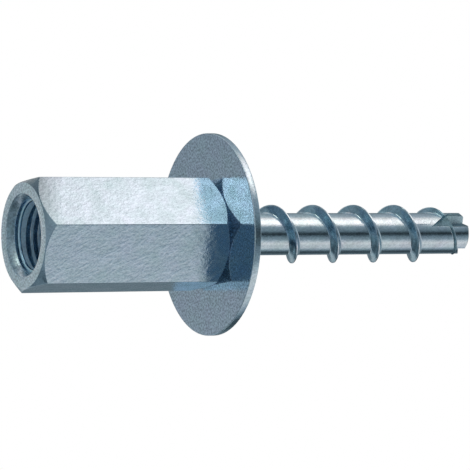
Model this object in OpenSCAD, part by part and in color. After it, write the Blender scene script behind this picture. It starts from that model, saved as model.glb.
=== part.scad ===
// Concrete screw anchor with a long hexagonal head that takes a threaded rod.
// The mouth of the head stands on z = 0 and the screw points up along +Z.
// The screw is one solid. The flat washer is a second one, trapped on the neck
// between the end of the head and the first turn of the concrete thread.

/* [Head] */
// Width of the hexagonal head across its flats
head_af = 13; // [11.5:0.5:17]
// Length of the hexagonal head, from its mouth to the washer
head_len = 25; // [22:0.5:60]
// How far the round end faces of the head lie inside its flats
face_inset = 0.1; // [0.05:0.05:0.4]
// Angle of the corner chamfers, measured from the end faces
chamfer_angle = 42; // [20:1:50]

/* [Threaded hole] */
// Diameter of the plain hole wall, which is the core of the inner thread
hole_d = 8.5; // [6.8:0.1:8.8]
// Depth of the hole from the mouth to the end of its round wall
hole_depth = 18; // [6:0.5:18]
// Diameter of the countersink at the mouth
sink_d = 10.1; // [9.6:0.1:11]
// Depth of the countersink
sink_depth = 0.9; // [0.5:0.1:1.2]
// Diameter of the short plain step behind the countersink
step_bore_d = 9.1; // [8.9:0.1:9.4]
// Depth from the mouth to the floor of that step
step_bore_depth = 1.6; // [1.3:0.1:3]
// Full angle of the cone that ends the hole
drill_angle = 118; // [110:1:150]

/* [Washer] */
// Outer diameter of the washer
washer_d = 25.2; // [18:0.2:40]
// Thickness of the washer
washer_t = 0.9; // [0.6:0.1:2.5]
// Rounding of the washer's outer edges
washer_edge = 0.2; // [0.05:0.05:0.25]
// Radial clearance between the washer's hole and the neck
washer_clear = 0.05; // [0.02:0.01:0.1]

/* [Shank] */
// Diameter of the plain neck that carries the washer
neck_d = 5.9; // [5.6:0.1:6.6]
// Length of the neck beyond the washer
neck_len = 0.6; // [0.3:0.1:1.2]
// Diameter of the shank between the turns of the thread
core_d = 5.3; // [4.8:0.1:5.5]
// Length of the shank beyond the washer
shank_len = 36.5; // [30:0.1:90]

/* [Concrete thread] */
// Outer diameter of the concrete thread
thread_d = 7.4; // [7:0.1:9]
// Rise of the thread over one turn
pitch = 6; // [5:0.1:8]
// Width of the thread ridge where it leaves the core
ridge_root = 1.7; // [1.2:0.1:2.2]
// Share of that width on the washer's side of the crest
root_share = 0.4; // [0.3:0.02:0.6]
// Width of the ridge halfway up
ridge_mid = 0.66; // [0.5:0.02:1]
// Width of the flat on top of the ridge
ridge_crest = 0.14; // [0.1:0.02:0.4]
// Distance from the washer to the middle of the ridge where it starts
thread_start = 2; // [1.6:0.1:4]
// Angle of the ridge's start around the axis
start_turn = -101; // [-180:1:180]
// Angle over which the ridge grows out of the core
run_in = 100; // [60:5:180]
// Length of shank at the tip on which the ridge is only a low line
tail_len = 3; // [2.2:0.1:6]
// Height of that low line above the core
tail_rise = 0.12; // [0.08:0.01:0.3]
// Angle over which the ridge sinks to that line
run_out = 110; // [60:5:180]

/* [Tip] */
// Chamfer of the tip's edge
tip_chamfer = 0.35; // [0.1:0.05:0.6]
// Distance from the axis to the floor of the tip notch
notch_floor = 1.4; // [1:0.1:2]
// Distance from the axis to the wall of the tip notch
notch_wall = 0.4; // [0:0.1:1]
// Length of the tip notch
notch_len = 2.6; // [1.5:0.1:5]
// Angle of the notch around the axis
notch_turn = 23; // [-180:1:180]
// Length of the flat that leads into the notch
lead_len = 5.8; // [3:0.1:10]
// Depth of that flat below the core's surface
lead_depth = 0.36; // [0.1:0.02:0.5]
// Angle from the notch's floor to that flat
lead_angle = 63; // [40:1:80]
// Slope at which it runs out, as rise along the axis over width
lead_slope = 1.5; // [1:0.1:3]
// Length of the short flat on the far side of the tip
step_len = 1.4; // [0.5:0.1:3]
// Depth of the short flat below the core's surface
step_depth = 0.7; // [0.2:0.1:1.2]
// Angle from the notch's floor to the short flat
step_angle = 77; // [60:1:120]
// Slope at which the short flat runs out
step_slope = 0.6; // [0.3:0.1:2]

/* [Hidden] */
$fn = 96;
// Overlap of cuts past the faces that they open
past = 1;
washer_z = head_len + washer_t;
tip_z = washer_z + shank_len;
face_r = head_af / 2 - face_inset;
corner_r = head_af / sqrt(3);
core_r = core_d / 2;
washer_hole_r = neck_d / 2 + washer_clear;

// Section of the ridge, as pairs of height above the core and offset along the
// axis: one side's concave foot, its flank, the crest, and the other side
ridge_h = (thread_d - core_d) / 2;
function ridge_side(root) = [
    [0, root],
    [0.12 * ridge_h, (root + ridge_mid) / 2.4],
    [0.5 * ridge_h, ridge_mid / 2],
    [0.85 * ridge_h, (ridge_mid + 2 * ridge_crest) / 5],
    [ridge_h, ridge_crest / 2]
];
near_side = ridge_side(ridge_root * root_share);
far_side = ridge_side(ridge_root * (1 - root_share));
turn_profile = concat(
    [for (p = near_side) [p[0], -p[1]]],
    [for (i = [len(far_side) - 1:-1:0]) far_side[i]]
);
// Columns of skin around the shank
columns = 36;
thread_z = washer_z + thread_start;
tail_angle = 360 * (tip_z - thread_z - tail_len) / pitch;
end_angle = 360 * (tip_z - thread_z - tip_chamfer - ridge_root) / pitch;
// Turns of skin, from below the thread's start to beyond the tip
first_turn = -ceil((thread_z - head_len + past) / pitch) - 1;
last_turn = ceil((tip_z - thread_z + past) / pitch) + 1;

// Smooth rise from 0 to 1 while x goes from 0 to 1
function ease(x) = let (t = max(0, min(1, x))) t * t * (3 - 2 * t);

// Share of the full ridge height at an angle along the thread
function ridge_share(a) =
    let (tail = tail_rise / ridge_h)
    let (kept = 1 - (1 - tail) * max(0, min(1, (a - tail_angle + run_out) / run_out)))
    min(ease(a / run_in), kept, ease((end_angle - a) / 60));

// Corner of the skin at an angle along the thread, for one pair of the profile
function skin_corner(a, p) =
    let (share = ridge_share(a))
    let (r = core_r + p[0] * share)
    let (side = p[1] * (0.4 + 0.6 * share))
    let (turn = start_turn + a)
    [r * cos(turn), r * sin(turn), thread_z + pitch * a / 360 + side];

// Threaded shank as one closed skin. Its columns of points lie one behind the
// other around the shank, and each turn of the last column is the next turn of
// the first one.
module threaded_skin() {
    m = len(turn_profile);
    turns = last_turn - first_turn;
    tall = turns * m;
    body = [
        for (c = [0:columns - 1]) for (k = [0:tall - 1])
            skin_corner(360 * (first_turn + floor(k / m) + c / columns), turn_profile[k % m])
    ];
    z_low = thread_z + pitch * (first_turn - 1);
    z_high = thread_z + pitch * (last_turn + 1);
    low = columns * tall;
    high = low + 1;
    function at(c, k) = c == columns ? k + m : c * tall + k;
    function quad(p, q, r, s) = [[p, q, r], [p, r, s]];
    wall = [
        for (c = [0:columns - 1]) for (k = [0:tall - 2])
            if (c < columns - 1 || k + m + 1 < tall)
                for (f = quad(at(c, k), at(c, k + 1), at(c + 1, k + 1), at(c + 1, k))) f
    ];
    floor_fan = concat(
        [for (c = [0:columns - 1]) [low, at(c, 0), at(c + 1, 0)]],
        [for (k = [0:m - 1]) [low, k + 1, k]]
    );
    edge = columns - 1;
    roof_fan = concat(
        [for (c = [0:edge - 1]) [high, at(c + 1, tall - 1), at(c, tall - 1)]],
        [for (k = [tall - 1 - m:tall - 2]) [high, at(edge, k), at(edge, k + 1)]],
        [[high, at(0, tall - 1), at(edge, tall - 1 - m)]]
    );
    polyhedron(
        concat(body, [[0, 0, z_low], [0, 0, z_high]]),
        concat(wall, floor_fan, roof_fan),
        convexity = 10
    );
}

// Hexagon with the corners of both its ends turned off by a cone
module head_blank() {
    rise = (corner_r + past - face_r) * tan(chamfer_angle);
    intersection() {
        cylinder(h = head_len, r = corner_r, $fn = 6);
        rotate_extrude()
            polygon([
                [0, 0],
                [face_r, 0],
                [corner_r + past, rise],
                [corner_r + past, head_len - rise],
                [face_r, head_len],
                [0, head_len]
            ]);
    }
}

// Plain neck that passes through the washer and tapers down to the core
module neck() {
    neck_r = neck_d / 2;
    neck_end = washer_z + neck_len;
    root_r = core_r / 2;
    rotate_extrude()
        polygon([
            [0, head_len - past],
            [neck_r, head_len - past],
            [neck_r, neck_end],
            [root_r, neck_end + (neck_r - root_r) / 2],
            [0, neck_end + (neck_r - root_r) / 2]
        ]);
}

// Threaded shank, cut to length inside the head and at the chamfered tip
module threaded_shank() {
    reach = thread_d;
    intersection() {
        threaded_skin();
        rotate_extrude()
            polygon([
                [0, head_len - past],
                [reach, head_len - past],
                [reach, tip_z - tip_chamfer - (reach - core_r)],
                [core_r - tip_chamfer, tip_z],
                [0, tip_z]
            ]);
    }
}

// Countersunk blind hole with a short plain step, open at the mouth
module hole_cut() {
    r = hole_d / 2;
    step_r = step_bore_d / 2;
    flare = (sink_d - step_bore_d) / 2 / sink_depth;
    rotate_extrude()
        polygon([
            [0, -past],
            [sink_d / 2 + past * flare, -past],
            [step_r, sink_depth],
            [step_r, step_bore_depth],
            [r, step_bore_depth],
            [r, hole_depth],
            [0, hole_depth + r / tan(drill_angle / 2)]
        ]);
}

// Square notch along one side of the tip, with a floor and a wall
module notch_cut() {
    rotate([0, 0, notch_turn])
        translate([notch_wall, -notch_floor - thread_d, tip_z - notch_len])
            cube([thread_d, thread_d, notch_len + past]);
}

// Flat cut into one side of the tip. It starts at one edge, and slants across
// to the other edge by a slope, the rise along the axis over the width.
module flat_cut(turn, depth, length, slope, side) {
    edge = sqrt(core_r * core_r - pow(core_r - depth, 2));
    top = length + past;
    rotate([0, 0, turn])
        translate([core_r - depth, 0, tip_z - length])
            rotate([90, 0, 90])
                linear_extrude(height = thread_d)
                    polygon([
                        [side * edge, 0],
                        [side * (edge + past), 0],
                        [side * (edge + past), top],
                        [side * (edge - top / slope), top]
                    ]);
}

module anchor_screw() {
    color([0.66, 0.70, 0.74])
        difference() {
            union() {
                head_blank();
                neck();
                threaded_shank();
            }
            hole_cut();
            notch_cut();
            flat_cut(notch_turn - lead_angle, lead_depth, lead_len, lead_slope, 1);
            flat_cut(notch_turn + step_angle, step_depth, step_len, step_slope, -1);
        }
}

// Flat washer with rounded outer edges, seated on the end of the head
module washer() {
    color([0.60, 0.66, 0.72])
        translate([0, 0, head_len])
            rotate_extrude() {
                e = washer_edge;
                r = washer_d / 2;
                translate([washer_hole_r, 0])
                    square([r - e - washer_hole_r, washer_t]);
                translate([r - e - past, e])
                    square([past + e, washer_t - 2 * e]);
                translate([r - e, e]) circle(r = e);
                translate([r - e, washer_t - e]) circle(r = e);
            }
}

anchor_screw();
washer();
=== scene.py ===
"""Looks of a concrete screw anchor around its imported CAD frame.

The screw is rebuilt finer than the frame, with rounded edges, the turns of the
thread in its hole and the cuts of its tip, and so is the washer on its neck.
Meshes are worked in millimetres and become metres when they are finished.
"""

import logging
import math
from collections.abc import Callable, Iterable
from dataclasses import dataclass, field
from enum import Enum

import bmesh
import bpy
from mathutils import Matrix, Vector


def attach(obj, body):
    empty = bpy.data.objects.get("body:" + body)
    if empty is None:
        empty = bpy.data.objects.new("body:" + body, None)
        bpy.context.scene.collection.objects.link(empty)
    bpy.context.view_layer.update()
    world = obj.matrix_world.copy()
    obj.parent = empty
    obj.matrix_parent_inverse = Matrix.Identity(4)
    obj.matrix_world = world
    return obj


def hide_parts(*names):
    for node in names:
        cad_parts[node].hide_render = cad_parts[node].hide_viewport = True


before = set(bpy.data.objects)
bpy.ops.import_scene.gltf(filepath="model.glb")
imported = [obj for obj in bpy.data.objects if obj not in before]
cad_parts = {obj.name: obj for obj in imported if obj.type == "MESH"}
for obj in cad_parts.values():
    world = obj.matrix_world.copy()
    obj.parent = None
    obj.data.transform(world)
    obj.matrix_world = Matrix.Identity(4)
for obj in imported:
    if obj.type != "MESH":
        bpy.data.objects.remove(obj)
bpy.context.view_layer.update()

LOG = logging.getLogger("anchor")
MM = 0.001
MICRON = 0.000001
TAU = 2 * math.pi
CENTRE = (0, 0, 0)
AXIS = Vector((0, 0, 1))
# Points closer than this are merged, in mm.
WELD = 1e-4
# How close to an edge or a cut a point counts as on it, in mm.
NEAR = 0.02
# How close to the head, the core or the bore a point counts as on it, in mm.
TOUCH = 0.01
# How close to a height the points of a level edge are, in mm.
LEVEL = 1e-3
# Steps of a full turn of the threads and the tent.
COLUMNS = 96
# Edges that bend more than this stay sharp.
SHARP_DEG = 30.0
# Share of a ridge's width that is left where its height runs out.
LEAST_WIDTH = 0.28
# Turn of the grain, in radians, so that its strokes slant on the flats.
STROKE_TURN = (-0.416, -0.229, 0.0)

Mesh = bmesh.types.BMesh
Ring = list[bmesh.types.BMEdge]
Place = Callable[[Vector], Vector]
Section = list[tuple[float, float]]
Levels = tuple[tuple[float, float], ...]
Edges = tuple[float, float, float, float]
Colour = tuple[float, float, float, float]
Socket = bpy.types.NodeSocket
Groups = dict[str, bpy.types.NodeTree]


class Zone(Enum):
    """Kinds of worked surface on the screw, each with a finish of its own; the flank and dark zones carry
    painted shade, the edge zone a painted highlight.
    """

    DRAWN = "drawn"
    TURNED = "turned"
    ROLLED = "rolled"
    TAPPED = "tapped"
    DRILLED = "drilled"
    # Ridge flanks: rolled zinc made darker as painted shade, with stronger casts as a painted teal sheen.
    FLANK = "flank"
    CUT = "cut"
    # Lead flat, notch floor and ridge tail: a near-black colour, painted shade.
    SHAVED = "shaved"
    # Rounded cut edges and the step's ring in the hole: a bright, partly diffuse colour, a painted highlight.
    EDGE = "edge"
    SUNK = "sunk"
    CHAMFERED = "chamfered"


def smooth(x: float) -> float:
    """Returns a soft rise from 0 to 1 while x goes from 0 to 1."""
    t = max(0.0, min(1.0, x))
    return t * t * (3 - 2 * t)


def glide(a: float, b: float, c: float, d: float, t: float) -> float:
    """Returns the smooth curve through four values, at a share t of the way from b to c."""
    bend = (2 * a - 5 * b + 4 * c - d) * t ** 2 + (3 * b - a - 3 * c + d) * t ** 3
    return b + 0.5 * ((c - a) * t + bend)


def off_axis(co: Vector) -> float:
    """Returns how far a point is from the axis."""
    return math.hypot(co.x, co.y)


def at_radius(co: Vector, radius: float, z: float) -> Vector:
    """Returns the point at a radius and height, at the same angle around the axis as co."""
    flat = Vector((co.x, co.y, 0)).normalized() * radius
    return Vector((flat.x, flat.y, z))


def points_of(geom: Iterable[object]) -> list[bmesh.types.BMVert]:
    """Returns the points among what an operator made."""
    return [item for item in geom if isinstance(item, bmesh.types.BMVert)]


def open_count(bm: Mesh) -> int:
    """Returns how many edges don't have a face on each side."""
    return sum(1 for e in bm.edges if len(e.link_faces) != 2)


def turn(bm: Mesh, degrees: float) -> None:
    """Turns the whole mesh around the axis."""
    bmesh.ops.rotate(bm, verts=bm.verts, cent=CENTRE, matrix=Matrix.Rotation(math.radians(degrees), 3, "Z"))


def extrude_ring(bm: Mesh, ring: Ring, place: Place) -> Ring:
    """Extrudes an open ring of edges and moves its new points.

    Args:
        bm: The mesh that is worked on.
        ring: Edges of the ring.
        place: Gives the new place of a point from its old one.

    Returns:
        The edges of the new ring.
    """
    made = bmesh.ops.extrude_edge_only(bm, edges=ring)["geom"]
    points = set(points_of(made))
    for v in points:
        v.co = place(v.co.copy())
    return [e for e in made if isinstance(e, bmesh.types.BMEdge) and set(e.verts) <= points]


def extrude_along(bm: Mesh, ring: Ring, path: Iterable[tuple[float, float]]) -> Ring:
    """Extrudes an open ring of edges from one radius and height to the next.

    Args:
        bm: The mesh that is worked on.
        ring: Edges of the first ring.
        path: Pairs of radius and height.

    Returns:
        The edges of the last ring.
    """
    for radius, z in path:
        ring = extrude_ring(bm, ring, lambda co, r=radius, z=z: at_radius(co, r, z))
    return ring


def find_ring(bm: Mesh, z: float, low: float, high: float, is_open: bool = True) -> Ring:
    """Finds the level edges at a height whose points lie between two radii.

    Args:
        bm: The mesh that is searched.
        z: Height of the ring.
        low: Least distance from the axis.
        high: Greatest distance from the axis.
        is_open: True to find only edges that lack a face.

    Returns:
        The edges found.
    """
    return [
        e for e in bm.edges
        if (len(e.link_faces) < 2 or not is_open)
        and all(abs(v.co.z - z) < LEVEL and low <= off_axis(v.co) <= high for v in e.verts)
    ]


def cut_flat(bm: Mesh, z: float, keep_above: bool) -> None:
    """Cuts the mesh level at a height and drops the side that isn't kept."""
    bmesh.ops.bisect_plane(
        bm, geom=bm.verts[:] + bm.edges[:] + bm.faces[:], dist=1e-5, plane_co=(0, 0, z),
        plane_no=AXIS, clear_inner=keep_above, clear_outer=not keep_above,
    )


def bevel(bm: Mesh, geom: list[object], offset: float, segments: int, affect: str = "EDGES") -> list[object]:
    """Rounds edges or corners as the editor would, and returns the new faces."""
    return bmesh.ops.bevel(
        bm, geom=geom, offset=offset, offset_type="OFFSET", affect=affect, segments=segments,
        profile=0.5, material=-1, clamp_overlap=True,
    )["faces"]


def lathe(outline: Section, steps: int, closed: bool) -> Mesh:
    """Spins an outline once around the axis.

    Args:
        outline: Pairs of radius and height.
        steps: Number of steps around.
        closed: True to join the outline's last point to its first.

    Returns:
        The skin, with its doubles merged.
    """
    bm = bmesh.new()
    corners = [bm.verts.new((radius, 0, z)) for radius, z in outline]
    after = corners[1:] + (corners[:1] if closed else [])
    wire = [bm.edges.new(pair) for pair in zip(corners, after)]
    bmesh.ops.spin(
        bm, geom=corners + wire, cent=CENTRE, axis=AXIS, dvec=CENTRE, angle=TAU, steps=steps,
        use_merge=True, use_duplicate=False,
    )
    bmesh.ops.remove_doubles(bm, verts=bm.verts, dist=WELD)
    return bm


def wind(profile: Section, core: float, start: tuple[float, float], pitch: float, turns: int,
         share: Callable[[float], float]) -> Mesh:
    """Winds one turn's section around the axis into a helical skin.

    Args:
        profile: Pairs of height above the core and offset along the axis. The
            last pair is the next turn's first one.
        core: Radius on which the heights stand.
        start: Angle in degrees and height along the axis at which the winding starts.
        pitch: Rise over one turn.
        turns: Number of turns.
        share: Gives the share of the full height from the angle wound.

    Returns:
        The open skin, with its turns merged.
    """
    bm = bmesh.new()
    rise = bm.verts.layers.float.new("rise")
    shift = bm.verts.layers.float.new("shift")
    points = []
    for height, offset in profile:
        v = bm.verts.new((core + height, 0, offset))
        v[rise] = height
        v[shift] = offset
        points.append(v)
    points[-1][shift] = profile[0][1]
    wire = [bm.edges.new(pair) for pair in zip(points, points[1:])]
    bmesh.ops.spin(
        bm, geom=points + wire, cent=CENTRE, axis=AXIS, dvec=(0, 0, pitch / COLUMNS),
        angle=TAU, steps=COLUMNS, use_duplicate=False,
    )
    one_turn = bm.verts[:] + bm.edges[:] + bm.faces[:]
    for step in range(1, turns):
        made = bmesh.ops.duplicate(bm, geom=one_turn)["geom"]
        bmesh.ops.translate(bm, verts=points_of(made), vec=(0, 0, pitch * step))
    turned = Matrix.Rotation(math.radians(start[0]), 3, "Z")
    for v in bm.verts:
        wound = 360 * (v.co.z - v[shift]) / pitch
        part = share(wound)
        v.co = turned @ at_radius(v.co, core + v[rise] * part, 0)
        v.co.z = start[1] + pitch * wound / 360 + v[shift] * (LEAST_WIDTH + (1 - LEAST_WIDTH) * part)
    bmesh.ops.remove_doubles(bm, verts=bm.verts, dist=WELD)
    return bm


def join_into(bm: Mesh, part: Mesh) -> None:
    """Adds a part's geometry to another mesh and frees the part.

    Args:
        bm: The mesh that grows.
        part: The mesh that is added.
    """
    mesh = bpy.data.meshes.new("part")
    part.to_mesh(mesh)
    part.free()
    bm.from_mesh(mesh)
    bpy.data.meshes.remove(mesh)


def shade(mesh: bpy.types.Mesh) -> None:
    """Smooths the shading and keeps strong bends sharp."""
    mesh.shade_smooth()
    mesh.set_sharp_from_angle(angle=math.radians(SHARP_DEG))


def finish_object(bm: Mesh, name: str) -> bpy.types.Object:
    """Turns a mesh in millimetres into a shaded object in metres.

    Args:
        bm: The finished mesh. It is freed.
        name: Name of the object.

    Returns:
        The new object, at the origin.
    """
    bmesh.ops.scale(bm, vec=(MM, MM, MM), verts=bm.verts)
    mesh = bpy.data.meshes.new(name)
    bm.to_mesh(mesh)
    bm.free()
    shade(mesh)
    made = bpy.data.objects.new(name, mesh)
    bpy.context.scene.collection.objects.link(made)
    return made


def even_normals(made: bpy.types.Object) -> None:
    """Keeps large flat faces flat in the shading, and leaves the bend to the small ones.

    Args:
        made: The object that is shaded.
    """
    work = made.modifiers.new("even_normals", "WEIGHTED_NORMAL")
    work.mode = "FACE_AREA"
    work.weight = 50
    work.keep_sharp = True


def hide_from(made: bpy.types.Object, *rays: str) -> None:
    """Keeps an object of the studio out of some kinds of rays."""
    for name in rays:
        setattr(made, f"visible_{name}", False)


@dataclass
class HexHead:
    """Long hexagonal head with turned-off corners and rounded edges."""

    across_flats: float = 13.0
    length: float = 25.0
    face_inset: float = 0.1
    chamfer_deg: float = 42.0
    corner_round: float = 0.07
    edge_round: float = 0.05
    columns_per_flat: int = 17

    @property
    def face_radius(self) -> float:
        """Radius of the round end faces."""
        return self.across_flats / 2 - self.face_inset

    def chamfer_height(self, co: Vector) -> float:
        """Height of the corner chamfer at a point of the outline."""
        return (off_axis(co) - self.face_radius) * math.tan(math.radians(self.chamfer_deg))

    def outline(self, bm: Mesh) -> Ring:
        """Draws the rounded hexagon with corners on the X axis.

        Args:
            bm: The mesh that is drawn in.

        Returns:
            The edges of the outline.
        """
        radius = self.across_flats / math.sqrt(3)
        made = bmesh.ops.create_circle(bm, cap_ends=True, segments=6, radius=radius)
        turn(bm, 30)
        bevel(bm, made["verts"], self.corner_round, 4, "VERTICES")
        flats = [e for e in bm.edges if e.calc_length() > self.across_flats / 4]
        bmesh.ops.subdivide_edges(bm, edges=flats, cuts=self.columns_per_flat)
        bmesh.ops.delete(bm, geom=bm.faces[:], context="FACES_ONLY")
        return bm.edges[:]

    def build(self) -> Mesh:
        """Builds the head's outer skin.

        Returns:
            The skin, open at both round faces.
        """
        bm = bmesh.new()
        ring = self.outline(bm)
        for v in bm.verts:
            v.co.z = self.chamfer_height(v.co)
        extrude_along(bm, ring, [(self.face_radius, 0)])
        top = extrude_ring(bm, ring, lambda co: Vector((co.x, co.y, self.length - co.z)))
        extrude_along(bm, top, [(self.face_radius, self.length)])
        bevel(bm, [e for e in ring + top if e.is_valid], self.edge_round, 2)
        return bm


@dataclass
class TappedHole:
    """Countersunk blind hole with a short plain step and its inner thread."""

    bore: float = 8.5
    depth: float = 18.0
    sink: float = 10.1
    drill_deg: float = 118.0
    drill_point: tuple[float, float] = (0.05, 0.03)
    step_radius: float = 4.43
    cone_end: float = 0.9
    step_end: float = 1.42
    relief: float = 0.25
    soft: float = 0.02
    land_start: float = 1.68
    pitch: float = 1.0
    groove: float = 0.42
    crest: float = 0.36
    floor: float = 0.10
    flank_steps: int = 3
    start_deg: float = 139.0
    lead_length: float = 0.12
    full_length: float = 15.5
    fade_length: float = 1.6

    def section(self) -> Section:
        """Draws the section of one turn.

        Returns:
            Pairs of depth and offset, from one crest's middle to the next.
        """
        flank = (self.pitch - self.crest - self.floor) / 2
        shares = [i / self.flank_steps for i in range(self.flank_steps + 1)]
        down = [(self.groove * s, self.crest / 2 + flank * s) for s in shares]
        up = [(depth, self.pitch - offset) for depth, offset in reversed(down)]
        return [(0.0, 0.0)] + down + up + [(0.0, self.pitch)]

    def share(self, z: float) -> float:
        """Share of the full groove depth at a height."""
        return smooth((z - self.land_start) / self.lead_length) * (
            1 - smooth((z - self.full_length) / self.fade_length))

    def mouth(self) -> Section:
        """Pairs of radius and height from the first land out to the edge of the countersink."""
        wide = self.bore / 2 + self.relief
        return [
            (wide, self.land_start - self.soft),
            (wide, self.step_end + 3 * self.soft),
            (self.bore / 2, self.step_end + 2 * self.soft),
            (self.bore / 2, self.step_end + self.soft),
            (self.bore / 2 + self.soft, self.step_end),
            (self.step_radius - self.soft, self.step_end),
            (self.step_radius, self.step_end - self.soft),
            (self.step_radius, self.cone_end + self.soft),
            (self.step_radius + self.soft / 2, self.cone_end - self.soft),
            (self.sink / 2, 0.0),
        ]

    def build(self) -> Mesh:
        """Builds the wall of the hole.

        Returns:
            The wall, open at the mouth.
        """
        radius = self.bore / 2
        turns = math.ceil(self.depth / self.pitch) + 1
        bm = wind(
            self.section(), radius, (self.start_deg, 0.0), self.pitch, turns,
            lambda wound: self.share(self.pitch * wound / 360),
        )
        cut_flat(bm, self.land_start, keep_above=True)
        cut_flat(bm, self.depth, keep_above=False)
        tip_z = self.depth + radius / math.tan(math.radians(self.drill_deg / 2))
        small, drop = self.drill_point
        end = find_ring(bm, self.depth, 0, self.bore)
        last = extrude_along(bm, end, [(small, tip_z - drop), (0, tip_z)])
        bmesh.ops.remove_doubles(bm, verts=list({v for e in last for v in e.verts}), dist=NEAR)
        extrude_along(bm, find_ring(bm, self.land_start, 0, self.bore), self.mouth())
        return bm


@dataclass
class ConcreteThread:
    """Shank with the coarse ridge that cuts its own thread in concrete."""

    start_z: float = 27.9
    tip_z: float = 62.4
    core: float = 5.3
    outer: float = 7.4
    pitch: float = 6.0
    root: float = 1.7
    root_share: float = 0.4
    middle: float = 0.66
    crest: float = 0.14
    start_deg: float = -101.0
    run_in: float = 100.0
    tail_length: float = 3.0
    tail_rise: float = 0.12
    run_out: float = 110.0
    end_fade: float = 25.0
    chamfer: float = 0.35
    chamfer_round: float = 0.06
    chamfer_slope: float = 0.6
    shank_z: float = 26.85
    spare_turns: int = 2
    fineness: int = 3

    @property
    def height(self) -> float:
        """Full height of the ridge."""
        return (self.outer - self.core) / 2

    def side(self, root: float) -> Section:
        """Draws one side of the ridge: concave foot, flank and crest, as in the frame.

        Args:
            root: Width of the foot on this side.

        Returns:
            Pairs of height and offset, from the foot to the crest.
        """
        coarse = [
            (0.0, root),
            (0.12 * self.height, (root + self.middle) / 2.4),
            (0.5 * self.height, self.middle / 2),
            (0.85 * self.height, (self.middle + 2 * self.crest) / 5),
            (self.height, self.crest / 2),
        ]
        padded = coarse[:1] + coarse + coarse[-1:]
        fine = [
            tuple(glide(*values, k / self.fineness) for values in zip(*padded[i:i + 4]))
            for i in range(len(coarse) - 1) for k in range(self.fineness)
        ]
        return fine + coarse[-1:]

    def section(self) -> Section:
        """Draws the section of one turn.

        Returns:
            Pairs of height and offset, from the ridge's near foot to the next turn's.
        """
        foot = self.root * self.root_share
        near = [(h, -s) for h, s in self.side(foot)]
        far = [(h, s) for h, s in reversed(self.side(self.root - foot))]
        return near + far + [(0.0, self.pitch - foot)]

    def share(self, angle: float) -> float:
        """Works out the share of the full ridge height at an angle along the thread.

        Args:
            angle: Degrees wound from the start.

        Returns:
            The share, from 0 to 1.
        """
        length = self.tip_z - self.start_z
        tail_angle = 360 * (length - self.tail_length) / self.pitch
        end_angle = 360 * (length - self.chamfer - self.root * self.root_share) / self.pitch
        sunk = max(0.0, min(1.0, (angle - tail_angle + self.run_out) / self.run_out))
        tail = 1 - (1 - self.tail_rise / self.height) * sunk
        return min(smooth(angle / self.run_in), tail, smooth((end_angle - angle) / self.end_fade))

    def build(self) -> Mesh:
        """Builds the shank's skin.

        Returns:
            The skin, open at the neck.
        """
        turns = math.ceil((self.tip_z - self.start_z) / self.pitch) + self.spare_turns + 1
        bm = wind(
            self.section(), self.core / 2, (self.start_deg, self.start_z - self.spare_turns * self.pitch),
            self.pitch, turns, lambda wound: self.share(wound - 360 * self.spare_turns),
        )
        cut_flat(bm, self.shank_z, keep_above=True)
        radius = self.core / 2
        edge = self.tip_z - self.chamfer
        cut_flat(bm, edge, keep_above=False)
        inner = radius - self.chamfer
        slant = self.chamfer_round * self.chamfer_slope
        ring = extrude_along(bm, find_ring(bm, edge, radius / 2, radius + 1), [
            (radius - self.chamfer_round, edge + slant),
            (inner + slant, self.tip_z - self.chamfer_round),
            (inner - self.chamfer_round, self.tip_z),
        ])
        bmesh.ops.holes_fill(bm, edges=ring, sides=0)
        return bm


@dataclass(frozen=True)
class SlantingFlat:
    """A flat cut on the shank: its place, depth and length, and how its edge slants."""

    turn_deg: float
    depth: float
    length: float
    slope: float
    side: int


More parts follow.
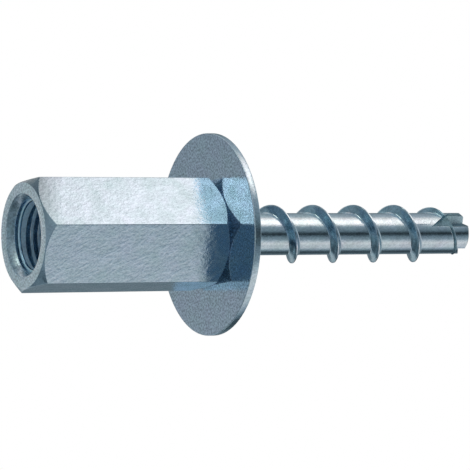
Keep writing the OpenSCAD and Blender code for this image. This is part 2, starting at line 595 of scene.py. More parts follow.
@dataclass
class TipCuts:
    """Notch and flats that open the tip, as cutters for the finished screw."""

    tip_z: float = 62.4
    core: float = 5.3
    floor: float = 1.4
    wall: float = 0.4
    length: float = 2.6
    turn_deg: float = 23.0
    lead: SlantingFlat = SlantingFlat(-63.0, 0.36, 5.8, 1.5, 1)
    step: SlantingFlat = SlantingFlat(77.0, 0.7, 1.4, 0.6, -1)
    reach: float = 7.4
    margin: float = 1.0
    low_gap: float = 0.1
    top_gap: float = 0.5
    edge_round: float = 0.06
    edge_deg: float = 25.0
    # Mark of the rounded cut faces, which get the painted edge highlight.
    edge_mark: int = 1
    merge: float = 0.004
    sliver: float = 0.002

    def notch(self) -> Mesh:
        """Builds the square cutter of the notch.

        Returns:
            The closed cutter.
        """
        bm = bmesh.new()
        high = self.length + self.margin
        half = self.reach / 2
        bmesh.ops.create_cube(bm, size=1)
        bmesh.ops.scale(bm, vec=(self.reach, self.reach, high), verts=bm.verts)
        place = (self.wall + half, -self.floor - half, self.tip_z - self.length + high / 2)
        bmesh.ops.translate(bm, verts=bm.verts, vec=place)
        turn(bm, self.turn_deg)
        return bm

    def flat(self, cut: SlantingFlat) -> Mesh:
        """Builds the slanting cutter of a flat.

        Args:
            cut: The flat that it cuts.

        Returns:
            The closed cutter.
        """
        bm = bmesh.new()
        radius = self.core / 2
        inner = radius - cut.depth
        edge = math.sqrt(radius ** 2 - inner ** 2)
        top = cut.length + self.margin
        away = edge + self.margin
        corners = ((edge, 0), (away, 0), (away, top), (edge - top / cut.slope, top))
        low = self.tip_z - cut.length
        face = bm.faces.new([bm.verts.new((inner, cut.side * y, low + z)) for y, z in corners])
        made = bmesh.ops.extrude_face_region(bm, geom=[face])["geom"]
        bmesh.ops.translate(bm, verts=points_of(made), vec=(self.reach, 0, 0))
        bmesh.ops.recalc_face_normals(bm, faces=bm.faces)
        turn(bm, self.turn_deg + cut.turn_deg)
        return bm

    def cut(self, screw: bpy.types.Object) -> None:
        """Cuts the notch and both flats out of the screw.

        Args:
            screw: The uncut screw.
        """
        cutters = {"notch": self.notch(), "lead": self.flat(self.lead), "step": self.flat(self.step)}
        for name, bm in cutters.items():
            tool = finish_object(bm, f"cutter_{name}")
            work = screw.modifiers.new(name, "BOOLEAN")
            work.operation = "DIFFERENCE"
            work.solver = "EXACT"
            work.object = tool
            graph = bpy.context.evaluated_depsgraph_get()
            mesh = bpy.data.meshes.new_from_object(screw.evaluated_get(graph))
            old = screw.data
            screw.modifiers.clear()
            screw.data = mesh
            mesh.name = "anchor_screw_mesh"
            bpy.data.meshes.remove(old)
            bpy.data.objects.remove(tool)
        self.soften(screw.data)

    def is_cut(self, centre: Vector) -> bool:
        """Tells whether a point in millimetres lies on one of the cuts."""
        low = self.tip_z - self.lead.length - self.low_gap
        return low < centre.z < self.tip_z - self.top_gap and off_axis(centre) < self.core / 2 - NEAR

    def is_shaved(self, centre: Vector) -> bool:
        """Tells whether a point in millimetres lies on the lead flat or the notch's floor.

        Args:
            centre: The point.

        Returns:
            True where it lies on one of the two.
        """
        for degrees, depth in ((self.lead.turn_deg, self.core / 2 - self.lead.depth), (-90.0, self.floor)):
            angle = math.radians(self.turn_deg + degrees)
            if abs(centre.x * math.cos(angle) + centre.y * math.sin(angle) - depth) < NEAR:
                return True
        return False

    def soften(self, mesh: bpy.types.Mesh) -> None:
        """Merges the slivers that the cutting left and rounds the cut edges.

        Args:
            mesh: The cut mesh, in metres.
        """
        bm = bmesh.new()
        bm.from_mesh(mesh)
        bmesh.ops.remove_doubles(bm, verts=bm.verts, dist=self.merge * MM)
        bmesh.ops.dissolve_degenerate(bm, dist=self.sliver * MM, edges=bm.edges)
        edges = [
            e for e in bm.edges
            if len(e.link_faces) == 2 and e.calc_face_angle() > math.radians(self.edge_deg)
            and any(self.is_cut(f.calc_center_median() / MM) for f in e.link_faces)
        ]
        # The rounded faces are marked for the painted edge highlight.
        for face in bevel(bm, edges, self.edge_round * MM, 2):
            face.material_index = self.edge_mark
        LOG.info("tip: %d cut edges rounded, %d open edges", len(edges), open_count(bm))
        bm.to_mesh(mesh)
        bm.free()


@dataclass
class AnchorScrew:
    """The whole screw in one closed mesh: head, hole, neck, shank and tip."""

    head: HexHead = field(default_factory=HexHead)
    hole: TappedHole = field(default_factory=TappedHole)
    shank: ConcreteThread = field(default_factory=ConcreteThread)
    tip: TipCuts = field(default_factory=TipCuts)
    neck: float = 5.9
    neck_end: float = 26.5
    shoulder: tuple[tuple[float, float], ...] = ((-0.08, 0.06), (0.0, -0.05))
    mouth_round: float = 0.1
    # Band around the step's height whose flat ring gets the painted edge highlight.
    step_band: float = 0.03
    sink_margin: float = 0.05
    foot_height: float = 0.06
    crest_depth: float = 0.05
    thread_margin: float = 0.2
    tail_margin: float = 0.4

    def mesh(self) -> Mesh:
        """Joins the open skins by their round faces and the neck.

        Returns:
            One closed mesh.
        """
        bm = bmesh.new()
        for part in (self.head.build(), self.hole.build(), self.shank.build()):
            join_into(bm, part)
        neck = self.neck / 2
        path = [(neck + r, self.neck_end + z) for r, z in self.shoulder] + [(neck, self.head.length)]
        extrude_along(bm, find_ring(bm, self.shank.shank_z, 0, self.neck), path)
        sink = self.hole.sink / 2
        face = self.head.face_radius
        for z, inner in ((0.0, sink), (self.head.length, neck)):
            rings = [find_ring(bm, z, radius - NEAR, radius + NEAR) for radius in (inner, face)]
            bmesh.ops.bridge_loops(bm, edges=rings[0] + rings[1])
        bmesh.ops.remove_doubles(bm, verts=bm.verts, dist=WELD)
        bmesh.ops.recalc_face_normals(bm, faces=bm.faces)
        bevel(bm, find_ring(bm, 0.0, sink - NEAR, sink + NEAR, is_open=False), self.mouth_round, 3)
        return bm

    def hole_zone(self, z: float, radius: float) -> Zone:
        """Tells the kind of surface at a place in the hole.

        Args:
            z: Height of the place.
            radius: Its distance from the axis.

        Returns:
            The kind of surface.
        """
        # The flat ring at the step gets the painted edge highlight.
        if abs(z - self.hole.step_end) < self.step_band and radius < self.hole.step_radius - LEVEL:
            return Zone.EDGE
        if z < self.hole.cone_end - self.sink_margin:
            return Zone.SUNK
        land = self.hole.land_start < z < self.hole.depth and radius < self.hole.bore / 2 + TOUCH
        return Zone.DRILLED if land else Zone.TAPPED

    def shank_zone(self, centre: Vector, radius: float) -> Zone:
        """Tells the kind of surface at a place beyond the head.

        Args:
            centre: The place.
            radius: Its distance from the axis.

        Returns:
            The kind of surface.
        """
        if self.tip.is_cut(centre):
            # The lead flat and the notch's floor get the near-black colour, painted shade.
            return Zone.SHAVED if self.tip.is_shaved(centre) else Zone.CUT
        core = self.shank.core / 2
        tail_z = self.shank.tip_z - self.shank.tail_length - self.tail_margin
        # The ridge's low tail gets the same near-black colour, a painted shadow line.
        if centre.z > tail_z and radius > core + TOUCH:
            return Zone.SHAVED
        # Flanks between the ridge's foot and crest take the darker finish, painted shade.
        flank = core + self.foot_height < radius < self.shank.outer / 2 - self.crest_depth
        return Zone.FLANK if flank and centre.z > self.shank.shank_z + self.thread_margin else Zone.ROLLED

    def zone_of(self, centre: Vector) -> Zone:
        """Tells the kind of surface at a place.

        Args:
            centre: The place, in millimetres.

        Returns:
            The kind of surface.
        """
        radius = off_axis(centre)
        if centre.z > self.head.length + TOUCH:
            return self.shank_zone(centre, radius)
        if radius < self.hole.sink / 2 and centre.z > NEAR:
            return self.hole_zone(centre.z, radius)
        from_end = min(centre.z, self.head.length - centre.z)
        if from_end < NEAR:
            return Zone.TURNED
        return Zone.CHAMFERED if from_end < self.head.chamfer_height(centre) - NEAR else Zone.DRAWN

    def build(self, looks: dict[Zone, bpy.types.Material]) -> bpy.types.Object:
        """Builds, cuts and dresses the screw.

        Args:
            looks: A material for each kind of surface.

        Returns:
            The finished object.
        """
        bm = self.mesh()
        LOG.info("screw skin: %d faces, %d open edges", len(bm.faces), open_count(bm))
        screw = finish_object(bm, "screw_body")
        self.tip.cut(screw)
        zones = list(Zone)
        for zone in zones:
            screw.data.materials.append(looks[zone])
        for face in screw.data.polygons:
            # Marked rounded faces get the painted edge highlight.
            edge = face.material_index == self.tip.edge_mark
            face.material_index = zones.index(Zone.EDGE if edge else self.zone_of(face.center / MM))
        shade(screw.data)
        even_normals(screw)
        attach(screw, "screw")
        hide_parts("anchor_screw")
        return screw


@dataclass
class CaptiveWasher:
    """Flat washer that turns on the neck, with softened edges."""

    bottom: float = 25.0
    thick: float = 0.9
    outer: float = 25.2
    bore: float = 6.0
    outer_round: float = 0.1
    bore_round: float = 0.08
    steps: int = 180

    def build(self, face_look: bpy.types.Material, rim_look: bpy.types.Material) -> bpy.types.Object:
        """Spins the washer's section once around and dresses it.

        Args:
            face_look: Material of the flat faces.
            rim_look: Material of the sheared rim.

        Returns:
            The finished object.
        """
        low, high = self.bottom, self.bottom + self.thick
        near, far = self.bore / 2, self.outer / 2
        bm = lathe([(near, low), (far, low), (far, high), (near, high)], self.steps, closed=True)
        bmesh.ops.recalc_face_normals(bm, faces=bm.faces)
        for radius, size in ((far, self.outer_round), (near, self.bore_round)):
            rims = [find_ring(bm, z, radius - NEAR, radius + NEAR, is_open=False) for z in (low, high)]
            bevel(bm, rims[0] + rims[1], size, 4)
        washer = finish_object(bm, "washer_ring")
        washer.data.materials.append(face_look)
        washer.data.materials.append(rim_look)
        edge = (far - self.outer_round / 2) * MM
        for face in washer.data.polygons:
            face.material_index = int(face.center.xy.length > edge)
        even_normals(washer)
        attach(washer, "washer")
        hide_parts("washer")
        return washer


@dataclass
class NodeBench:
    """Short calls for making and linking the nodes of one tree."""

    tree: bpy.types.NodeTree

    def add(self, kind: str, **settings: object) -> bpy.types.Node:
        """Adds a node.

        Args:
            kind: Type of the node.
            **settings: Properties that are set on it.

        Returns:
            The node.
        """
        node = self.tree.nodes.new(kind)
        for name, value in settings.items():
            setattr(node, name, value)
        return node

    def feed(self, socket: Socket, value: object) -> None:
        """Links an output to a socket, or sets the socket's own value.

        Args:
            socket: The socket that is fed.
            value: An output, or a plain value.
        """
        if isinstance(value, bpy.types.NodeSocket):
            self.tree.links.new(value, socket)
        else:
            socket.default_value = value

    def made(self, kind: str, *values: object, **settings: object) -> bpy.types.Node:
        """Adds a node and feeds its first sockets in order.

        Args:
            kind: Type of the node.
            *values: Outputs or plain values.
            **settings: Properties that are set on it.

        Returns:
            The node.
        """
        node = self.add(kind, **settings)
        for socket, value in zip(node.inputs, values):
            self.feed(socket, value)
        return node

    def math(self, operation: str, *values: object, clamp: bool = False) -> Socket:
        """Adds a Math node and returns its output."""
        return self.made("ShaderNodeMath", *values, operation=operation, use_clamp=clamp).outputs[0]

    def times(self, a: object, b: object) -> Socket:
        """Returns the product of two values."""
        return self.math("MULTIPLY", a, b)

    def plus(self, a: object, b: object) -> Socket:
        """Returns the sum of two values."""
        return self.math("ADD", a, b)

    def mix(self, factor: object, a: object, b: object, blend: str = "MIX") -> Socket:
        """Adds a Mix node for colours.

        Args:
            factor: Share of the second colour.
            a: First colour.
            b: Second colour.
            blend: Way of mixing.

        Returns:
            The mixed colour.
        """
        node = self.add("ShaderNodeMix", data_type="RGBA", blend_type=blend, clamp_factor=True)
        for i, value in ((0, factor), (6, a), (7, b)):
            self.feed(node.inputs[i], value)
        return node.outputs[2]

    def spread(self, value: object, low: float, high: float, to_low: float = 0.0,
               to_high: float = 1.0) -> Socket:
        """Maps a range of values onto another, clamped, and returns the output."""
        return self.made("ShaderNodeMapRange", value, low, high, to_low, to_high, clamp=True).outputs[0]

    def noise(self, vector: Socket, scale: object, detail: float, rough: float) -> Socket:
        """Adds a Noise Texture.

        Args:
            vector: Place that is read.
            scale: Scale of the pattern.
            detail: Number of finer layers.
            rough: Strength of the finer layers.

        Returns:
            The noise value.
        """
        node = self.add("ShaderNodeTexNoise", noise_dimensions="3D")
        values = {"Vector": vector, "Scale": scale, "Detail": detail, "Roughness": rough}
        for title, value in values.items():
            self.feed(node.inputs[title], value)
        return node.outputs[0]

    def blend(self, share: Socket, first: bpy.types.Node, second: bpy.types.Node) -> Socket:
        """Mixes the shaders of two nodes and returns the result."""
        return self.made("ShaderNodeMixShader", share, first.outputs[0], second.outputs[0]).outputs[0]

    def group(self, tree: bpy.types.NodeTree, place: Socket, size: float) -> bpy.types.Node:
        """Places a shared group.

        Args:
            tree: The group.
            place: Place that its pattern reads.
            size: Scale of its pattern.

        Returns:
            The group's node.
        """
        node = self.add("ShaderNodeGroup", node_tree=tree)
        self.feed(node.inputs["Vector"], place)
        self.feed(node.inputs["Size"], size)
        return node


def new_look(name: str) -> tuple[bpy.types.Material, NodeBench]:
    """Starts a material with nodes.

    Args:
        name: Name of the material.

    Returns:
        The material and its bench.
    """
    look = bpy.data.materials.new(name)
    look.use_nodes = True
    return look, NodeBench(look.node_tree)


def new_group(name: str, inputs: dict[str, float],
              outputs: list[str]) -> tuple[NodeBench, bpy.types.Node, bpy.types.Node]:
    """Starts a shader node group that reads a Vector and some numbers.

    Args:
        name: Name of the group.
        inputs: Names of the number inputs with their defaults.
        outputs: Names of the value outputs.

    Returns:
        A bench for the group's tree, and its input and output nodes.
    """
    tree = bpy.data.node_groups.new(name, "ShaderNodeTree")
    tree.interface.new_socket(name="Vector", in_out="INPUT", socket_type="NodeSocketVector")
    for title, default in inputs.items():
        socket = tree.interface.new_socket(name=title, in_out="INPUT", socket_type="NodeSocketFloat")
        socket.default_value = default
    for title in outputs:
        tree.interface.new_socket(name=title, in_out="OUTPUT", socket_type="NodeSocketFloat")
    return NodeBench(tree), tree.nodes.new("NodeGroupInput"), tree.nodes.new("NodeGroupOutput")


def speckle_group() -> bpy.types.NodeTree:
    """Builds the fine crystals of the plating, specks about a tenth of a millimetre wide.

    Returns:
        A group that puts out the specks and the soft clouds between them.
    """
    bench, into, out = new_group("plating_speckle", {"Size": 7000.0}, ["Specks", "Clouds"])
    place = into.outputs["Vector"]
    fine = bench.noise(place, into.outputs["Size"], detail=2.0, rough=0.6)
    bench.feed(out.inputs["Specks"], bench.spread(fine, low=0.38, high=0.62))
    cloud_size = bench.times(into.outputs["Size"], 0.12)
    soft = bench.noise(place, cloud_size, detail=3.0, rough=0.55)
    bench.feed(out.inputs["Clouds"], bench.spread(soft, low=0.3, high=0.7))
    return bench.tree


def mottle_group() -> bpy.types.NodeTree:
    """Builds the slanting mottled grain left by drawing and pickling.

    Returns:
        A group that puts out the grain as a shade and as a height.
    """
    bench, into, out = new_group("slanting_mottle", {"Size": 1500.0, "Length": 0.5}, ["Shade", "Height"])
    turned = bench.made("ShaderNodeMapping", into.outputs["Vector"], vector_type="POINT")
    turned.inputs["Rotation"].default_value = STROKE_TURN
    squeeze = bench.made("ShaderNodeCombineXYZ", 1.0, 1.0, into.outputs["Length"])
    scaled = bench.made(
        "ShaderNodeVectorMath", turned.outputs[0], squeeze.outputs[0], operation="MULTIPLY").outputs[0]
    broad_size = bench.times(into.outputs["Size"], 0.35)
    grain = bench.noise(scaled, into.outputs["Size"], detail=3.0, rough=0.55)
    broad = bench.noise(scaled, broad_size, detail=2.0, rough=0.5)
    height = bench.plus(bench.times(grain, 0.6), bench.times(broad, 0.4))
    bench.feed(out.inputs["Shade"], bench.spread(height, low=0.36, high=0.64))
    bench.feed(out.inputs["Height"], height)
    return bench.tree


@dataclass(frozen=True)
class ZincFinish:
    """Bright zinc plating with a bluish cast on one kind of worked steel."""

    name: str
    colour: tuple[float, float, float] = (0.50, 0.68, 0.83)
    dark: float = 0.8
    rough: float = 0.22
    rough_swing: float = 0.08
    speckle: float = 0.25
    speckle_size: float = 3600.0
    mottle: float = 0.25
    mottle_size: float = 1500.0
    speck_relief: float = 3.0
    mottle_relief: float = 4.0
    metal: float = 1.0
    # Darker towards the mouth end of the head: the level there, the band's slant across the flats and the
    # heights in metres where it fades.
    dim_level: float = 1.0
    dim_corner: float = 0.0065
    dim_slant: float = 0.5
    dim_from: float = 0.0008
    dim_to: float = 0.0045
    violet_cast: Colour = (1.02, 0.98, 1.015, 1.0)
    teal_cast: Colour = (0.98, 1.02, 0.985, 1.0)

    def tone(self, bench: NodeBench, shade_by: Socket, clouds: Socket, place: Socket) -> Socket:
        """Mixes the plating's colour from its shades, its casts and a darkening towards the mouth end of the
        head.

        Args:
            bench: The bench of the material.
            shade_by: Shade of the specks and the grain.
            clouds: Mask between the two casts.
            place: Object coordinates.

        Returns:
            The colour.
        """
        low = tuple(c * self.dark for c in self.colour) + (1.0,)
        high = tuple(min(1.0, c * (2 - self.dark)) for c in self.colour) + (1.0,)
        cast = bench.mix(clouds, self.violet_cast, self.teal_cast)
        colour = bench.mix(1.0, bench.mix(shade_by, low, high), cast, blend="MULTIPLY")
        _, y, z = bench.made("ShaderNodeSeparateXYZ", place).outputs
        # Darker towards the mouth end of the head, over a band that slants across the flats.
        from_corner = bench.times(bench.plus(y, self.dim_corner), self.dim_slant)
        dimming = bench.spread(bench.plus(z, from_corner), self.dim_from, self.dim_to, to_low=self.dim_level)
        dimmed = bench.made("ShaderNodeCombineColor", dimming, dimming, dimming)
        return bench.mix(1.0, colour, dimmed.outputs[0], blend="MULTIPLY")

    def build(self, groups: Groups) -> bpy.types.Material:
        """Builds the material.

        Args:
            groups: The shared groups by name.

        Returns:
            The material.
        """
        look, bench = new_look(self.name)
        shader = bench.tree.nodes["Principled BSDF"]
        place = bench.add("ShaderNodeTexCoord").outputs["Object"]
        specks = bench.group(groups["speckle"], place, self.speckle_size).outputs
        mottle = bench.group(groups["mottle"], place, self.mottle_size).outputs
        shade_by = bench.plus(
            bench.times(specks["Specks"], self.speckle), bench.times(mottle["Shade"], self.mottle))
        shade_by = bench.math("DIVIDE", shade_by, self.speckle + self.mottle)
        bench.feed(shader.inputs["Base Color"], self.tone(bench, shade_by, specks["Clouds"], place))
        bench.feed(shader.inputs["Roughness"], bench.spread(
            specks["Clouds"], 0, 1, self.rough - self.rough_swing, self.rough + self.rough_swing))
        shader.inputs["Metallic"].default_value = self.metal
        height = bench.plus(
            bench.times(mottle["Height"], self.mottle_relief),
            bench.times(specks["Specks"], self.speck_relief))
        bump = bench.add("ShaderNodeBump")
        for title, value in (("Strength", 1.0), ("Distance", MICRON), ("Height", height)):
            bench.feed(bump.inputs[title], value)
        bench.feed(shader.inputs["Normal"], bump.outputs[0])
        return look


SCREW_FINISHES = {
    Zone.DRAWN: ZincFinish(
        "zinc_on_drawn_flats", colour=(0.483, 0.62, 0.742), dark=0.86, rough=0.19, speckle=0.7, mottle=0.6,
        mottle_size=2700.0, speck_relief=4.0, mottle_relief=58.0, dim_level=0.50,
    ),
    Zone.TURNED: ZincFinish(
        "zinc_on_turned_faces", colour=(0.535, 0.665, 0.76), dark=0.64, rough=0.30, speckle=1.0, mottle=0.2,
        speck_relief=7.0,
    ),
    Zone.ROLLED: ZincFinish("zinc_on_rolled_shank", colour=(0.56, 0.68, 0.78), rough=0.13, rough_swing=0.04),
    # Darker than the rolled core as painted shade; violet and teal casts, random tone as elsewhere, made
    # stronger as a painted teal sheen.
    Zone.FLANK: ZincFinish(
        "zinc_on_ridge_flanks_painted_shade", colour=(0.338, 0.490, 0.590), dark=0.74, rough=0.17, speckle=0.6, mottle=0.6,
        violet_cast=(1.08, 0.98, 0.98, 1.0), teal_cast=(0.90, 1.03, 1.04, 1.0),
    ),
    Zone.TAPPED: ZincFinish("zinc_on_tapped_hole", rough=0.16),
    Zone.DRILLED: ZincFinish("zinc_on_drilled_lands", colour=(0.50, 0.70, 0.85), rough=0.5, metal=0.45),
    Zone.CUT: ZincFinish("zinc_on_cut_notch", colour=(0.56, 0.73, 0.82), dark=0.72, rough=0.40, metal=0.6),
    # Near-black colour: painted shade on the lead flat and notch floor, a painted shadow line on the ridge's
    # tail.
    Zone.SHAVED: ZincFinish("zinc_painted_dark_shade", colour=(0.13, 0.23, 0.29), dark=0.6, rough=0.35),
    # Bright, partly diffuse colour: a painted highlight on the rounded edges.
    Zone.EDGE: ZincFinish("zinc_painted_edge_highlight", colour=(0.60, 0.80, 0.93), rough=0.40, metal=0.45),
    Zone.SUNK: ZincFinish(
        "zinc_on_countersink", colour=(0.44, 0.56, 0.65), dark=0.72, rough=0.27, speckle=1.0, mottle=0.2,
        speck_relief=6.0,
    ),
    Zone.CHAMFERED: ZincFinish(
        "zinc_on_chamfers", colour=(0.54, 0.685, 0.765), dark=0.70, rough=0.28, speckle=1.0, mottle=0.6,
        speck_relief=7.0,
    ),
}
WASHER_FACE = ZincFinish(
    "zinc_on_washer_faces", colour=(0.352, 0.452, 0.556), dark=0.60, rough=0.14, rough_swing=0.03,
    speckle=1.0, mottle=0.2, speck_relief=1.5,
)
WASHER_RIM = ZincFinish(
    "zinc_on_sheared_rim", colour=(0.52, 0.66, 0.77), dark=0.85, rough=0.16, speckle=1.0, mottle=0.2,
    speck_relief=4.0,
)


@dataclass(frozen=True)
class LightBox:
    """One bright soft box: its level, its soft edges around and upwards, and its tint."""

    level: float
    around: Edges
    upwards: Edges
    tint: Colour = (1.0, 1.0, 1.0, 1.0)


@dataclass
class Studio:
    """White studio: one-sided floor, a light tent seen in the metal, and the camera.

    Angles around are degrees from the camera. Elevations are degrees from the
    heart of the tent. A near card's upward edges are heights in millimetres.
    """

    image: int = 470
    focal_px: float = 3129.5
    sensor: float = 36.0
    clip: tuple[float, float] = (0.01, 10.0)
    camera_at: tuple[float, float, float] = (338.81, 57.01, -158.30)
    camera_turn: tuple[float, float, float] = (179.474, -61.387, 10.137)
    camera_azimuth: float = 9.68
    room_colour: Colour = (0.9, 0.93, 0.96, 1.0)
    room_level: float = 0.7
    floor_colour: Colour = (0.93, 0.93, 0.93, 1.0)
    floor_rough: float = 0.9
    floor_radius: float = 5000.0
    floor_drop: float = 0.02
    lamp_at: tuple[float, float, float] = (-0.1, -0.25, 0.6)
    lamp_size: float = 0.35
    lamp_watts: float = 2.0
    tent_radius: float = 600.0
    tent_low: float = -600.0
    tent_high: float = 800.0
    heart: float = 0.03
    upper: Levels = (
        (-180, 0.25), (-160, 0.23), (-142, 0.16), (-128, 0.07), (-114, 0.08), (-104, 0.22), (-95, 0.42),
        (-80, 0.71), (-68, 0.68), (-54, 0.82), (-42, 0.64), (-30, 0.33), (-18, 0.26), (-9, 0.11), (-2, 0.03),
        (5, 0.06), (15, 0.21), (27, 0.29), (42, 0.38), (70, 0.40), (110, 0.50), (133, 0.40), (155, 0.22),
        (180, 0.26),
    )
    lower: Levels = (
        (-180, 0.50), (-174, 0.54), (-166, 0.28), (-150, 0.20), (-139, 0.12), (-129, 0.16), (-119, 0.27),
        (-99, 0.06), (-74, 0.24), (-41, 0.20), (-20, 0.19), (0, 0.22), (30, 0.40), (60, 0.45), (96, 0.22),
        (130, 0.42), (145, 0.32), (165, 0.34), (175, 0.45), (180, 0.50),
    )
    lower_to_upper: tuple[float, float] = (-12.0, 14.0)
    ends: tuple[tuple[float, float, float], ...] = (
        (0.34, -38.0, -60.0), (0.55, 44.0, 60.0), (0.95, -76.0, -84.0))
    key: LightBox = LightBox(1.29, (38.0, 65.0, 67.0, 115.0), (10.0, 27.0, 31.5, 40.0))
    belt_level: float = 0.45
    belt_upwards: Edges = (-19.0, -10.0, -1.0, 8.0)
    cool: Colour = (0.72, 1.0, 1.13, 1.0)
    warm: Colour = (1.15, 1.0, 0.905, 1.0)
    cool_to_warm: tuple[float, float] = (0.1, 0.9)
    near_radius: float = 107.0
    near_steps: int = 12
    near_cards: tuple[LightBox, ...] = (
        LightBox(2.7, (58.0, 66.0, 93.0, 101.0), (-42.0, -36.0, -25.0, -19.0), (1.06, 1.06, 0.91, 1.0)),
        LightBox(0.86, (-168.0, -163.0, -150.0, -144.0), (-46.0, -38.0, -22.0, -16.0), (0.8, 1.0, 1.05, 1.0)),
        LightBox(0.225, (-60.0, -52.0, -30.0, -22.0), (-48.0, -40.0, -24.0, -18.0), (0.52, 1.0, 1.30, 1.0)),
    )

    def camera(self) -> None:
        """Places the camera as the photograph was taken."""
        data = bpy.data.cameras.new("camera")
        data.sensor_width = self.sensor
        data.lens = self.focal_px / self.image * self.sensor
        data.clip_start, data.clip_end = self.clip
        made = bpy.data.objects.new("camera", data)
        made.location = Vector(self.camera_at) * MM
        made.rotation_euler = [math.radians(a) for a in self.camera_turn]
        bpy.context.scene.collection.objects.link(made)
        bpy.context.scene.camera = made

    def world(self) -> None:
        """Sets a white background that the metal shows too, and plain light for the floor."""
        world = bpy.data.worlds.new("white_studio")
        bpy.context.scene.world = world
        world.use_nodes = True
        world.node_tree.nodes.clear()
        bench = NodeBench(world.node_tree)
        path = bench.add("ShaderNodeLightPath").outputs
        seen = bench.plus(path["Is Camera Ray"], path["Is Glossy Ray"])
        seen = bench.math("ADD", seen, path["Is Transmission Ray"], clamp=True)
        plain = bench.made("ShaderNodeBackground", self.room_colour, self.room_level)
        white = bench.made("ShaderNodeBackground", (1.0, 1.0, 1.0, 1.0), 1.0)
        bench.made("ShaderNodeOutputWorld", bench.blend(seen, plain, white))

    def floor(self) -> bpy.types.Object:
        """Lays a pale floor that is clear from below, where the photograph looks from.

        Returns:
            The floor.
        """
        bm = bmesh.new()
        bmesh.ops.create_circle(bm, cap_ends=True, segments=64, radius=self.floor_radius)
        bmesh.ops.translate(bm, verts=bm.verts, vec=(0, 0, -self.floor_drop))
        floor = finish_object(bm, "floor")
        look, bench = new_look("pale_floor")
        shader = bench.tree.nodes["Principled BSDF"]
        shader.inputs["Base Color"].default_value = self.floor_colour
        shader.inputs["Roughness"].default_value = self.floor_rough
        shader.inputs["Specular IOR Level"].default_value = 0.0
        back = bench.add("ShaderNodeNewGeometry").outputs["Backfacing"]
        both = bench.blend(back, shader, bench.add("ShaderNodeBsdfTransparent"))
        bench.feed(bench.tree.nodes["Material Output"].inputs[0], both)
        floor.data.materials.append(look)
        hide_from(floor, "diffuse", "glossy", "transmission", "shadow")
        return floor

    def ramp(self, bench: NodeBench, share: Socket, levels: Levels) -> Socket:
        """Adds a ramp of grey levels around the object.

        Args:
            bench: The bench of the material.
            share: Angle around the object as a share of a turn, 0.5 at the camera.
            levels: Pairs of degrees from the camera and level.

        Returns:
            The ramp's colour.
        """
        ramp = bench.made("ShaderNodeValToRGB", share)
        stops = ramp.color_ramp.elements
        while len(stops) < len(levels):
            stops.new(0.5)
        for stop, (degrees, level) in zip(stops, levels):
            stop.position = degrees / 360 + 0.5
            stop.color = (level, level, level, 1)
        return ramp.outputs[0]

    def window(self, bench: NodeBench, value: Socket, edges: Edges) -> Socket:
        """Makes a soft window.

        Args:
            bench: The bench of the material.
            value: The value that passes the window.
            edges: It rises over the first two and falls over the last two.

        Returns:
            The share that passes.
        """
        rise = bench.spread(value, edges[0], edges[1])
        fall = bench.spread(value, edges[3], edges[2])
        for socket in (rise, fall):
            socket.node.interpolation_type = "SMOOTHSTEP"
        return bench.times(rise, fall)

    def box_share(self, bench: NodeBench, box: LightBox, around: Socket, upwards: Socket) -> Socket:
        """Returns how strongly a soft box lights a place."""
        return bench.times(self.window(bench, around, box.around), self.window(bench, upwards, box.upwards))

    def card_bench(self, name: str) -> tuple[bpy.types.Material, NodeBench, Socket, Socket, list[Socket]]:
        """Starts a card's material.

        Args:
            name: Name of the material.

        Returns:
            The material, its bench, the angle around the object as a share of a turn
            and in degrees, and the three coordinates.
        """
        look, bench = new_look(name)
        bench.tree.nodes.clear()
        place = bench.made("ShaderNodeSeparateXYZ", bench.add("ShaderNodeTexCoord").outputs["Object"])
        x, y, z = place.outputs
        turned = bench.math("SUBTRACT", math.radians(self.camera_azimuth), bench.math("ARCTAN2", y, x))
        share = bench.math("FRACT", bench.plus(bench.math("DIVIDE", turned, TAU), 1.5))
        around = bench.times(bench.math("SUBTRACT", share, 0.5), 360.0)
        return look, bench, share, around, [x, y, z]

    def tent_look(self) -> bpy.types.Material:
        """Paints the tent's cards: two bands of greys, plain ends, a belt and one bright soft box.

        Returns:
            The material.
        """
        look, bench, share, around, (x, y, z) = self.card_bench("tent_cards")
        away = bench.math("SQRT", bench.plus(bench.times(x, x), bench.times(y, y)))
        lift = bench.math("SUBTRACT", z, self.heart)
        elevation = bench.math("DEGREES", bench.math("ARCTAN2", lift, away))
        lower, upper = (self.ramp(bench, share, levels) for levels in (self.lower, self.upper))
        colour = bench.mix(bench.spread(elevation, *self.lower_to_upper), lower, upper)
        for level, first, last in self.ends:
            colour = bench.mix(bench.spread(elevation, first, last), colour, (level, level, level, 1.0))
        light = bench.made("ShaderNodeRGBToBW", colour).outputs[0]
        key = self.box_share(bench, self.key, around, elevation)
        light = bench.plus(light, bench.times(key, self.key.level))
        belt = self.window(bench, elevation, self.belt_upwards)
        light = bench.plus(light, bench.times(belt, self.belt_level))
        tint = bench.mix(bench.spread(light, *self.cool_to_warm), self.cool, self.warm)
        cards = bench.made("ShaderNodeEmission", tint, light)
        bench.made("ShaderNodeOutputMaterial", cards.outputs[0])
        return look

    def tent(self) -> bpy.types.Object:
        """Stands a closed tent of reflector cards around the object, which only the metal shows.

        Returns:
            The tent.
        """
        wall = [(self.tent_radius, self.tent_low), (self.tent_radius, self.tent_high)]
        bm = lathe([(0, self.tent_low)] + wall + [(0, self.tent_high)], COLUMNS, closed=False)
        tent = finish_object(bm, "light_tent")
        tent.data.materials.append(self.tent_look())
        hide_from(tent, "camera", "diffuse", "transmission", "shadow")
        return tent

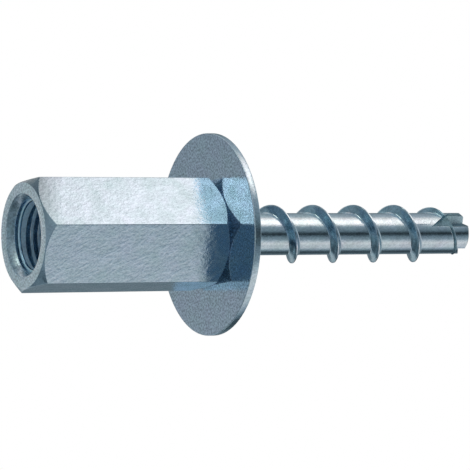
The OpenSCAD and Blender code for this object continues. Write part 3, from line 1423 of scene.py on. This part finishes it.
    def near_card_look(self, box: LightBox) -> bpy.types.Material:
        """Paints a small card that lights up softly from its clear edges.

        Args:
            box: The soft box that the card shows.

        Returns:
            The material.
        """
        look, bench, _, around, (_, _, z) = self.card_bench("near_card")
        share = self.box_share(bench, box, around, bench.math("DIVIDE", z, MM))
        clear = bench.add("ShaderNodeBsdfTransparent")
        lit = bench.made("ShaderNodeEmission", box.tint, box.level)
        bench.made("ShaderNodeOutputMaterial", bench.blend(share, clear, lit))
        return look

    def card(self, box: LightBox) -> bpy.types.Object:
        """Stands a small bent card beside the head, which only the metal shows.

        Args:
            box: The soft box that the card shows.

        Returns:
            The card.
        """
        bm = bmesh.new()
        first = math.radians(self.camera_azimuth - box.around[0])
        foot = Vector((math.cos(first), math.sin(first), 0)) * self.near_radius
        side = [bm.verts.new(foot + AXIS * z) for z in (box.upwards[0], box.upwards[3])]
        bmesh.ops.spin(
            bm, geom=side + [bm.edges.new(side)], cent=CENTRE, axis=-AXIS, dvec=CENTRE,
            angle=math.radians(box.around[3] - box.around[0]), steps=self.near_steps, use_duplicate=False,
        )
        card = finish_object(bm, "near_card")
        card.data.materials.append(self.near_card_look(box))
        hide_from(card, "camera", "diffuse", "transmission", "shadow")
        return card

    def lamp(self) -> None:
        """Hangs a soft lamp above, for the shadow on the floor."""
        data = bpy.data.lights.new("soft_lamp", "AREA")
        data.shape = "DISK"
        data.size = self.lamp_size
        data.energy = self.lamp_watts
        made = bpy.data.objects.new("soft_lamp", data)
        made.location = self.lamp_at
        made.rotation_euler = (-made.location).to_track_quat("-Z", "Y").to_euler()
        hide_from(made, "glossy")
        bpy.context.scene.collection.objects.link(made)

    def build(self) -> None:
        """Builds the whole studio."""
        self.camera()
        self.world()
        self.lamp()
        self.floor()
        self.tent()
        for box in self.near_cards:
            self.card(box)
        bpy.context.scene.view_settings.view_transform = "Standard"


def main() -> None:
    """Builds the studio, the finishes and the pieces in order."""
    logging.basicConfig(level=logging.INFO, format="%(name)s: %(message)s")
    Studio().build()
    groups = {"speckle": speckle_group(), "mottle": mottle_group()}
    screw = AnchorScrew().build({zone: finish.build(groups) for zone, finish in SCREW_FINISHES.items()})
    washer = CaptiveWasher().build(WASHER_FACE.build(groups), WASHER_RIM.build(groups))
    for piece in (screw, washer):
        LOG.info("%s: %d faces", piece.name, len(piece.data.polygons))


if __name__ == "__main__":
    main()
